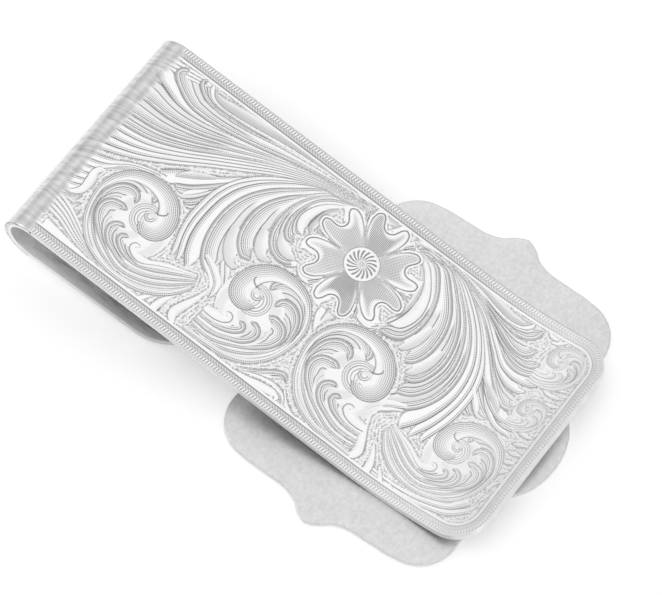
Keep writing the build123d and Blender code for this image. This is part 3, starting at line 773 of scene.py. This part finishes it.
def mesh_object(name, points, faces, normals=None, fields=None):
    """A smooth-shaded mesh in metres from points in mm and an (n, 4) array of faces."""
    mesh = bpy.data.meshes.new(name)
    points = np.asarray(points, np.float64).reshape(-1, 3) * MM
    mesh.vertices.add(len(points))
    mesh.vertices.foreach_set("co", points.astype(np.float32).ravel())
    mesh.loops.add(faces.size)
    mesh.loops.foreach_set("vertex_index", faces.astype(np.int32).ravel())
    mesh.polygons.add(len(faces))
    mesh.polygons.foreach_set("loop_start", np.arange(0, faces.size, 4, dtype=np.int32))
    mesh.update(calc_edges=True)
    mesh.validate()
    mesh.polygons.foreach_set("use_smooth", np.full(len(mesh.polygons), True))
    for key, values in (fields or {}).items():
        mesh.attributes.new(key, "FLOAT", "POINT").data.foreach_set("value", values.astype(np.float32).ravel())
    if normals is not None:
        mesh.normals_split_custom_set_from_vertices(normals.reshape(-1, 3).astype(np.float32))
    obj = bpy.data.objects.new(name, mesh)
    bpy.context.scene.collection.objects.link(obj)
    return obj


def quads(rows, cols, closed=False):
    """Faces of a grid of points, rows by cols; closed joins the last column to the first."""
    i, j = np.meshgrid(np.arange(rows - 1), np.arange(cols - (0 if closed else 1)), indexing="ij")
    a, b = i * cols + j, i * cols + (j + 1) % cols
    return np.stack([a, a + cols, b + cols, b], -1).reshape(-1, 4)


def grid_normals(p):
    n = np.cross(np.gradient(p, axis=0), np.gradient(p, axis=1))
    return n / np.maximum(np.linalg.norm(n, axis=-1, keepdims=True), 1e-12)


# ---------------------------------------------------------------- engraved leaf
draw_all()
height = soften(height)
tone = np.clip(tone + 0.5 * (tone - soften(tone, 5)), 0.3, 1.0)
EDGE_R = 0.1  # rounding of the strip's edges
EDGE_MID = 0.03  # how far in from both faces its middle is
STEP = 0.07  # mm between the cut surface's points
FACE_PIECES = 3  # along the leaf
RIM_TONES = [0.93, 0.94, 0.95]


def leaf_grid():
    """Plan positions (d, y) of the leaf's grid; its outer corners follow the rounded tip corners."""
    d = np.linspace(0, LEAF_LENGTH, int(LEAF_LENGTH / STEP) + 1)
    half = np.linspace(0, HALF_W, int(HALF_W / STEP) + 1)
    y = np.r_[-half[:0:-1], half]
    d, y = np.meshgrid(d, y, indexing="ij")
    a = (d - (LEAF_LENGTH - CORNER_R)) / CORNER_R
    b = (np.abs(y) - (HALF_W - CORNER_R)) / CORNER_R
    corner = (a > 0) & (b > 0)
    a, b = np.where(corner, a, 0), np.where(corner, b, 0)
    d = np.where(corner, LEAF_LENGTH - CORNER_R + CORNER_R * a * np.sqrt(1 - b * b / 2), d)
    y = np.where(corner, np.sign(y) * (HALF_W - CORNER_R + CORNER_R * b * np.sqrt(1 - a * a / 2)), y)
    return d, y


def engraved_surface(d, y):
    """3-D points of the cut surface, and the fields that its material reads."""
    inward = outline_coordinates(d, y)[0]
    rise = sample(height, d, y)
    brink = np.clip(inward, 0, EDGE_R)
    rise = rise - (EDGE_R - np.sqrt(np.maximum(EDGE_R**2 - (EDGE_R - brink) ** 2, 0)))
    x, z, _, _ = on_leaf(d, -rise)
    drawn = {"tone": tone, "hatch": hatch, "across": across, "along": along}
    fields = {key: sample(field, d, y) for key, field in drawn.items()}
    return np.stack([x, y, z], -1), fields


leaf_d, leaf_y = leaf_grid()
leaf_p, leaf_fields = engraved_surface(leaf_d, leaf_y)
leaf_n = grid_normals(leaf_p)
leaf_n[0] = leaf_n[1]
skins = []
ends = np.linspace(0, len(leaf_p) - 1, FACE_PIECES + 1).astype(int)
for k, (i0, i1) in enumerate(zip(ends, ends[1:])):
    cut = slice(i0, i1 + 1)
    p = leaf_p[cut]
    fields = {key: field[cut] for key, field in leaf_fields.items()}
    skins.append(mesh_object(f"engraved_face_{k + 1}", p, quads(*p.shape[:2]), leaf_n[cut], fields))

# The leaf's rim and plain underside: rows straight across, from the fold to the tip
last = leaf_d.shape[1] - 1
plus = list(zip(leaf_d[:, last], leaf_y[:, last]))
corner_j = [j for j in range(last, 0, -1) if leaf_y[-1, j] > HALF_W - CORNER_R + 1e-6]
plus += [(leaf_d[-1, j], leaf_y[-1, j]) for j in corner_j[1:]] + [(LEAF_LENGTH, HALF_W - CORNER_R)]
plus = np.array(plus)
along_rim = np.gradient(plus, axis=0)
along_rim /= np.linalg.norm(along_rim, axis=1)[:, None]
out_d, out_y = -along_rim[:, 1], along_rim[:, 0]
out_d, out_y = np.where(out_y < 0, -out_d, out_d), np.abs(out_y)
side_rows = slice(0, int(0.8 * len(leaf_d)))  # all before the corner
out_d[side_rows], out_y[side_rows] = 0, 1
rim_profile = [(0.0, EDGE_R - EDGE_MID), (0.0, THICK - EDGE_R)]
rim_profile += [(EDGE_R * (1 - cos(t)), THICK - EDGE_R + EDGE_R * sin(t)) for t in np.radians((30, 60, 90))]
rings = []
for inset, depth in rim_profile:
    d, y = plus[:, 0] - inset * np.abs(out_d), plus[:, 1] - inset * out_y
    x, z, _, _ = on_leaf(d, np.full(len(d), depth))
    rings.append(np.stack([x, y, z], 1))
low = rings[-1]
spread = [low * [1, k, 1] for k in (0.66, 0.33, 0, -0.33, -0.66)]
body_rows = np.stack(rings + spread + [r * [1, -1, 1] for r in rings[::-1]], 1)
# Painted shade: the plain underside, over the hollow, is a little darker than the rim
tones = RIM_TONES + [0.92, 0.9]
tones = tones + [0.88] * len(spread) + tones[::-1]
leaf_back = mesh_object("leaf_back", body_rows, quads(*body_rows.shape[:2])[:, ::-1], None,
                        {"tone": np.broadcast_to(tones, body_rows.shape[:2])})
# Tip wall, between the two corners
tip = body_rows[-1][: len(rim_profile)]
tip_wall = np.stack([tip * [1, k, 1] for k in np.linspace(1, -1, 9)], 0)
leaf_tip = mesh_object("leaf_tip_edge", tip_wall, quads(*tip_wall.shape[:2]), None,
                       {"tone": np.full(tip_wall.shape[:2], RIM_TONES[0])})

# ---------------------------------------------------------------- fold
ARC = BOW_OUT * (pi + FALL - LEG_FALL)
CUT_ARC = 4.2  # the part of it that carries the pattern
bow_d = np.r_[np.linspace(-ARC, -CUT_ARC, 60), np.linspace(-CUT_ARC, 0, int(CUT_ARC / STEP) + 1)[1:]]
column = leaf_y[0]
bow_dd, bow_yy = np.meshgrid(bow_d, column, indexing="ij")
outer, bow_fields = engraved_surface(bow_dd, bow_yy)
wall = [(0.0, EDGE_R - EDGE_MID), (0.0, THICK - EDGE_R), (EDGE_MID, THICK - EDGE_MID), (EDGE_R, THICK)]
inner_rows = []
for inset, depth in wall:
    x, z, _, _ = on_leaf(bow_d, np.full(len(bow_d), depth))
    inner_rows.append(np.stack([x, np.full(len(x), HALF_W - inset), z], 1))
low = inner_rows[-1]
loop = [outer.transpose(1, 0, 2)[j] for j in range(outer.shape[1])] + inner_rows
inner_y = (0.985, 0.8, 0.6, 0.4, 0.2, 0, -0.2, -0.4, -0.6, -0.8, -0.985)
loop += [low * [1, k, 1] for k in inner_y] + [r * [1, -1, 1] for r in inner_rows[::-1]]
loop = np.stack(loop, 1)
# The rim is plain, and the hollow inside brushed and greyer; its colour is raised to full brightness, painted light in
# the hollow
inside = {"tone": [1.0] * len(inner_y), "hatch": [0.3] * len(inner_y), "dull": [1] * len(inner_y),
          "across": [k * HALF_W for k in inner_y], "along": [0] * len(inner_y)}
bow_fields["dull"] = 0 * bow_fields["tone"]
for key, field in bow_fields.items():
    rim = RIM_TONES + [0.9] if key == "tone" else [0] * len(wall)
    rest = rim + inside[key] + rim[::-1]
    bow_fields[key] = np.concatenate([field, np.broadcast_to(rest, (len(field), len(rest)))], 1)
bow = mesh_object("fold", loop, quads(*loop.shape[:2], closed=True), None, bow_fields)

# ---------------------------------------------------------------- rear leg
BEND_R = 8.0
leg_c = (BOW_X - BOW_OUT * sin(LEG_FALL), BOW_Z - BOW_OUT * cos(LEG_FALL))
bend_cz = PLATE_T + BEND_R
bend_x = leg_c[0] + (leg_c[1] - (bend_cz - BEND_R * cos(LEG_FALL))) / tan(LEG_FALL)
bend_c = bend_x + BEND_R * sin(LEG_FALL)


def leg_under(x):
    """Underside height of the leg at x, and its slope."""
    sloped = leg_c[1] - (x - leg_c[0]) * tan(LEG_FALL)
    curved = bend_cz - np.sqrt(np.maximum(BEND_R**2 - np.minimum(x - bend_c, 0) ** 2, 0))
    return np.where(x < bend_x, sloped, np.where(x < bend_c, curved, PLATE_T))


def leg_point(x, y, rise):
    z = leg_under(x)
    slope = (leg_under(x + 0.01) - leg_under(x - 0.01)) / 0.02
    nz = 1 / np.sqrt(1 + slope**2)
    return np.stack([x - slope * nz * rise, y, z + nz * rise], -1)


SHOULDER, SHOULDER_R, TONGUE, TONGUE_END = BOW_X + 13.0, 5.5, 5.0, BOW_X + 31.0
neck_x, neck_r = SHOULDER + SHOULDER_R, HALF_W - SHOULDER_R - TONGUE
q, end_q = np.linspace(0, pi / 2, 14), np.linspace(0, pi / 2, 40)
outline = np.concatenate([
    np.stack([np.linspace(leg_c[0], SHOULDER, 30)[:-1], np.full(29, HALF_W)], 1),
    np.stack([SHOULDER + SHOULDER_R * np.sin(q), HALF_W - SHOULDER_R * (1 - np.cos(q))], 1)[:-1],
    np.stack([neck_x + neck_r * (1 - np.cos(q)), HALF_W - SHOULDER_R - neck_r * np.sin(q)], 1)[:-1],
    np.stack([np.linspace(neck_x + neck_r, TONGUE_END - TONGUE, 12)[:-1], np.full(11, TONGUE)], 1),
    np.stack([TONGUE_END - TONGUE * (1 - np.sin(end_q)), TONGUE * np.cos(end_q)], 1),
])


ROWS_ACROSS, ROWS_RIM = 22, 8


def sheet_rows(outline, thick, radius, place):
    """A closed sheet with rounded edges: outline is its +Y side from one end to the other."""
    t = np.gradient(outline, axis=0)
    t /= np.linalg.norm(t, axis=1)[:, None]
    nx, ny = -t[:, 1], t[:, 0]
    arc = np.radians((90, 60, 30, 0))
    profile = [(radius * (1 - cos(a)), thick - radius + radius * sin(a)) for a in arc]
    profile += [(radius * (1 - cos(a)), radius - radius * sin(a)) for a in arc[::-1]]
    side = [place(outline[:, 0] - inset * nx, np.maximum(outline[:, 1] - inset * ny, 0), np.full(len(outline), h))
            for inset, h in profile]
    top, bottom = side[0], side[-1]
    k = np.linspace(-1, 1, ROWS_ACROSS + 2)[1:-1]
    loop = [top * [1, v, 1] for v in k] + side
    loop += [bottom * [1, v, 1] for v in k[::-1]] + [r * [1, -1, 1] for r in side[::-1]]
    return np.stack(loop, 1)


leg_rows = sheet_rows(outline, THICK, EDGE_R, leg_point)
flat = ([1.0] * ROWS_ACROSS + [0.0] * ROWS_RIM) * 2
# Painted light: the leg's colour is lighter near the fold and darker towards the shoulder
leg_fields = {"flat": np.broadcast_to(flat, leg_rows.shape[:2]),
              "bright": 1.0 - 0.3 * smooth(leg_c[0], SHOULDER, leg_rows[..., 0])}
leg = mesh_object("leg", leg_rows, quads(*leg_rows.shape[:2], closed=True), None, leg_fields)

# ---------------------------------------------------------------- shaped plate
CUSP, SHOULDER_W, PLATE_R = 18.85, 16.85, 0.12
quarter = [(0, CUSP), (1.2, CUSP - 0.55), (2.2, SHOULDER_W + 0.65), (3.5, SHOULDER_W + 0.2), (6.0, SHOULDER_W + 0.05),
           (8.6, SHOULDER_W - 0.05), (10.6, SHOULDER_W - 0.45), (12.2, SHOULDER_W - 1.6), (13.1, SHOULDER_W - 3.4),
           (13.2, SHOULDER_W - 5.4), (13.05, 9.0), (13.3, 7.0), (14.2, 5.3), (15.45, 3.4), (16.05, 1.4), (16.15, 0)]
one = curve(quarter, 0.25)[0]
ring_2d = np.concatenate([one[:-1], (one * [1, -1])[::-1][:-1], (one * [-1, -1])[:-1], (one * [-1, 1])[::-1][:-1]])
t = np.roll(ring_2d, -1, 0) - np.roll(ring_2d, 1, 0)
t /= np.linalg.norm(t, axis=1)[:, None]
out = np.stack([-t[:, 1], t[:, 0]], 1)
out *= np.sign((out * ring_2d).sum(1))[:, None]
arc = np.radians((0, 30, 60, 90))
top_rings = [(PLATE_R * (1 - cos(a)), PLATE_T - PLATE_R + PLATE_R * sin(a)) for a in arc]
rings = [(PLATE_R * (1 - cos(a)), PLATE_R - PLATE_R * sin(a)) for a in arc[::-1]] + top_rings
layers = [np.column_stack([ring_2d - inset * out, np.full(len(ring_2d), h)]) for inset, h in rings]
shrink = [0.9, 0.75, 0.6, 0.45, 0.3, 0.15, 0.0]
layers = [layers[0] * [k, k, 1] for k in shrink[::-1]] + layers + [layers[-1] * [k, k, 1] for k in shrink]
plate_rows = np.stack(layers, 0)
plate = mesh_object("plate", plate_rows, quads(*plate_rows.shape[:2], closed=True))

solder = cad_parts["solder_fillet"]


# ---------------------------------------------------------------- materials
class Nodes:
    """A short way to build a node tree."""

    def __init__(self, name):
        self.material = bpy.data.materials.new(name)
        self.material.use_nodes = True
        self.tree = self.material.node_tree
        self.tree.nodes.clear()
        self.out = self.add("ShaderNodeOutputMaterial")
        self.bsdf = self.add("ShaderNodeBsdfPrincipled")
        self.link(self.bsdf.outputs[0], self.out.inputs[0])

    def add(self, kind, **values):
        """A node; each value goes to its property of that name, or else to its input."""
        node = self.tree.nodes.new(kind)
        for key, value in values.items():
            if hasattr(node, key):
                setattr(node, key, value)
            else:
                node.inputs[key].default_value = value
        return node

    def link(self, a, b):
        self.tree.links.new(a, b)

    def math(self, op, a, b=0.0, clamp=False):
        node = self.add("ShaderNodeMath", operation=op, use_clamp=clamp)
        for k, v in enumerate((a, b)):
            if isinstance(v, (int, float)):
                node.inputs[k].default_value = v
            else:
                self.link(v, node.inputs[k])
        return node.outputs[0]

    def plus(self, a, b, clamp=False):
        return self.math("ADD", a, b, clamp)

    def times(self, a, b):
        return self.math("MULTIPLY", a, b)

    def about(self, value, middle=0.5):
        return self.math("SUBTRACT", value, middle)

    def field(self, name):
        return self.add("ShaderNodeAttribute", attribute_name=name).outputs["Fac"]

    def noise(self, scale, detail, stretch=(1, 1, 1), roughness=0.55):
        place = self.add("ShaderNodeTexCoord")
        mapping = self.add("ShaderNodeMapping", Scale=stretch)
        self.link(place.outputs["Object"], mapping.inputs["Vector"])
        node = self.add("ShaderNodeTexNoise", Scale=scale, Detail=detail, Roughness=roughness)
        self.link(mapping.outputs[0], node.inputs["Vector"])
        return node.outputs["Fac"]

    def ramp(self, value, stops):
        node = self.add("ShaderNodeValToRGB")
        while len(node.color_ramp.elements) < len(stops):
            node.color_ramp.elements.new(0.5)
        for element, (place, grey) in zip(node.color_ramp.elements, stops):
            element.position, element.color = place, (grey, grey, grey, 1)
        self.link(value, node.inputs[0])
        return node.outputs[0]

    def finish(self, colour, roughness, bump, depth, strength):
        """Link the metal's colour and roughness, and a bump depth metres high."""
        self.link(colour, self.bsdf.inputs["Base Color"])
        self.link(roughness, self.bsdf.inputs["Roughness"])
        node = self.add("ShaderNodeBump", Strength=strength, Distance=depth)
        self.link(bump, node.inputs["Height"])
        self.link(node.outputs[0], self.bsdf.inputs["Normal"])


def silver(name):
    n = Nodes(name)
    n.bsdf.inputs["Metallic"].default_value = 1.0
    return n


MICRON = 1e-6
# Engraved silver: bright cuts, greyer shading lines, a little dark in the deepest grooves
LINE_PITCH, TICK_PITCH = 0.2, 0.19  # mm, of the shading lines
n = cut_silver = silver("engraved silver")
strength = n.field("hatch")
lines = n.math("SINE", n.times(n.field("across"), 2 * pi / LINE_PITCH))
ticks = n.math("SINE", n.times(n.field("along"), 2 * pi / TICK_PITCH))
weave = n.plus(n.times(lines, 0.62), n.times(ticks, 0.38))
scratch = n.noise(2600, 4, (0.25, 1, 1))
wear = n.noise(420, 4)
dark = n.times(n.times(strength, weave), n.times(wear, 0.5))
level = n.math("SUBTRACT", n.field("tone"), dark)
level = n.plus(level, n.times(n.about(scratch), 0.06))
level = n.plus(level, n.times(n.about(wear), 0.05), True)
rough = n.plus(n.times(scratch, 0.14), n.times(n.field("dull"), 0.3))
relief = n.plus(n.times(n.times(weave, strength), 0.5), n.times(scratch, 0.35))
n.finish(n.math("POWER", level, 2.2), n.plus(rough, 0.27), relief, 8 * MICRON, 0.6)

# Plain rolled silver for the leaf's back and rim
n = plain_silver = silver("plain silver")
grain = n.noise(900, 5, (0.06, 1, 1))
shine = n.times(n.ramp(grain, [(0.25, 0.82), (0.75, 1.0)]), n.math("POWER", n.field("tone"), 2.2))
n.finish(shine, n.plus(n.times(grain, 0.16), 0.24), n.noise(3500, 4, (0.04, 1, 1)), 6 * MICRON, 0.5)

# Brushed along its length, with painted light: lighter near the fold, darker towards the shoulder and the plate
n = leg_silver = silver("brushed silver")
grain = n.plus(n.times(n.noise(4200, 6, (0.02, 1, 1), 0.7), 0.65), n.times(n.noise(1300, 4, (0.04, 1, 1)), 0.35))
grain = n.plus(n.times(n.about(grain), n.field("flat")), 0.5)
# The bright field is painted light along the leg
shine = n.times(n.ramp(grain, [(0.42, 0.66), (0.5, 0.87), (0.58, 1.0)]), n.field("bright"))
n.finish(shine, n.plus(n.times(grain, 0.25), 0.42), grain, 12 * MICRON, 0.6)

# Fine satin with crossing hairlines
n = plate_silver = silver("satin silver")
mottle = n.noise(2600, 5, (1, 0.8, 1), 0.7)
hair = n.noise(5200, 5, (0.06, 1.0, 1), 0.7)
cross = n.noise(4600, 5, (1.0, 0.05, 1), 0.7)
patch = n.noise(260, 3)
mix = n.plus(n.times(mottle, 0.7), n.plus(n.times(hair, 0.18), n.times(cross, 0.12)))
shine = n.ramp(n.plus(mix, n.times(n.about(patch), 0.10)), [(0.36, 0.66), (0.5, 0.74), (0.64, 0.82)])
n.finish(shine, n.plus(n.times(mix, 0.25), 0.25), mix, 6 * MICRON, 0.5)

# Solder: duller, lightly pitted
n = joint_silver = silver("solder silver")
pits = n.noise(2200, 4)
n.finish(n.ramp(pits, [(0.3, 0.58), (0.7, 0.80)]), n.plus(n.times(pits, 0.3), 0.28), pits, 20 * MICRON, 0.7)


def dress(obj, nodes):
    obj.data.materials.clear()
    obj.data.materials.append(nodes.material)


for piece in skins:
    dress(piece, cut_silver)
for piece in (leaf_back, leaf_tip):
    dress(piece, plain_silver)
dress(bow, cut_silver)
dress(leg, leg_silver)
dress(plate, plate_silver)
solder.data.materials.clear()
solder.data.materials.append(joint_silver.material)

# ---------------------------------------------------------------- frame
for piece in (*skins, leaf_back, leaf_tip):
    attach(piece, "leaf")
    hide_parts("engraved_leaf")
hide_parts("spring_bow")
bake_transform(bow)
for piece, node in ((leg, "rear_leg"), (plate, "shaped_plate")):
    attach(piece, "back")
    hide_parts(node)

# ---------------------------------------------------------------- stage, light and camera
FLOOR_HALF, FLOOR_Z = 900, -0.01
corners = [(x * FLOOR_HALF, y * FLOOR_HALF, FLOOR_Z) for x, y in ((-1, -1), (1, -1), (1, 1), (-1, 1))]
floor = mesh_object("floor", corners, np.array([(0, 1, 2, 3)]))
white = Nodes("floor white")
for key, value in (("Base Color", (0.9, 0.9, 0.9, 1)), ("Roughness", 0.9), ("Specular IOR Level", 0.1),
                   ("Emission Color", (1, 1, 1, 1)), ("Emission Strength", 0.28)):
    white.bsdf.inputs[key].default_value = value
floor.data.materials.append(white.material)

world = bpy.data.worlds.new("studio")
bpy.context.scene.world = world
world.use_nodes = True
sky = world.node_tree
heading = sky.nodes.new("ShaderNodeTexCoord")
split = sky.nodes.new("ShaderNodeSeparateXYZ")
sky.links.new(heading.outputs["Generated"], split.inputs[0])
shade = sky.nodes.new("ShaderNodeValToRGB")
for stop, place, colour in zip(shade.color_ramp.elements, (0.15, 0.95), ((0.42, 0.42, 0.425, 1), (1.0, 1.0, 1.0, 1))):
    stop.position, stop.color = place, colour
sky.links.new(split.outputs[2], shade.inputs[0])
sky.links.new(shade.outputs[0], sky.nodes["Background"].inputs[0])
sky.nodes["Background"].inputs[1].default_value = 1.0


LIT = Vector((-12, 2, 3)) * MM  # where every light points


def area(name, place, size, power):
    light = bpy.data.lights.new(name, "AREA")
    light.shape, light.size, light.size_y, light.energy = "RECTANGLE", size[0] * MM, size[1] * MM, power
    obj = bpy.data.objects.new(name, light)
    obj.location = Vector(place) * MM
    obj.rotation_mode = "QUATERNION"
    obj.rotation_quaternion = (LIT - obj.location).to_track_quat("-Z", "Y")
    bpy.context.scene.collection.objects.link(obj)


area("key softbox", (-260, 430, 430), (320, 240), 0.12)
area("left softbox", (-420, -180, 330), (260, 200), 0.25)
area("right softbox", (380, -160, 420), (260, 200), 0.15)

AZIMUTH, ELEVATION, ROLL = radians(34.969), radians(63.337), radians(1.339)
DISTANCE, LENS, AIM = 390.8, 216.25, Vector((-12.161, 2.234, 0))
back = Vector((sin(AZIMUTH) * cos(ELEVATION), -cos(AZIMUTH) * cos(ELEVATION), sin(ELEVATION)))
right = Vector((cos(AZIMUTH), sin(AZIMUTH), 0))
up = back.cross(right)
turned = (cos(ROLL) * right + sin(ROLL) * up, -sin(ROLL) * right + cos(ROLL) * up, back)
camera = bpy.data.objects.new("camera", bpy.data.cameras.new("camera"))
camera.data.lens, camera.data.sensor_width = LENS, 36
camera.data.clip_start, camera.data.clip_end = 0.02, 20
camera.matrix_world = Matrix.Translation((AIM + back * DISTANCE) * MM) @ Matrix(turned).transposed().to_4x4()
bpy.context.scene.collection.objects.link(camera)
bpy.context.scene.camera = camera
bpy.context.scene.view_settings.view_transform = "Standard"
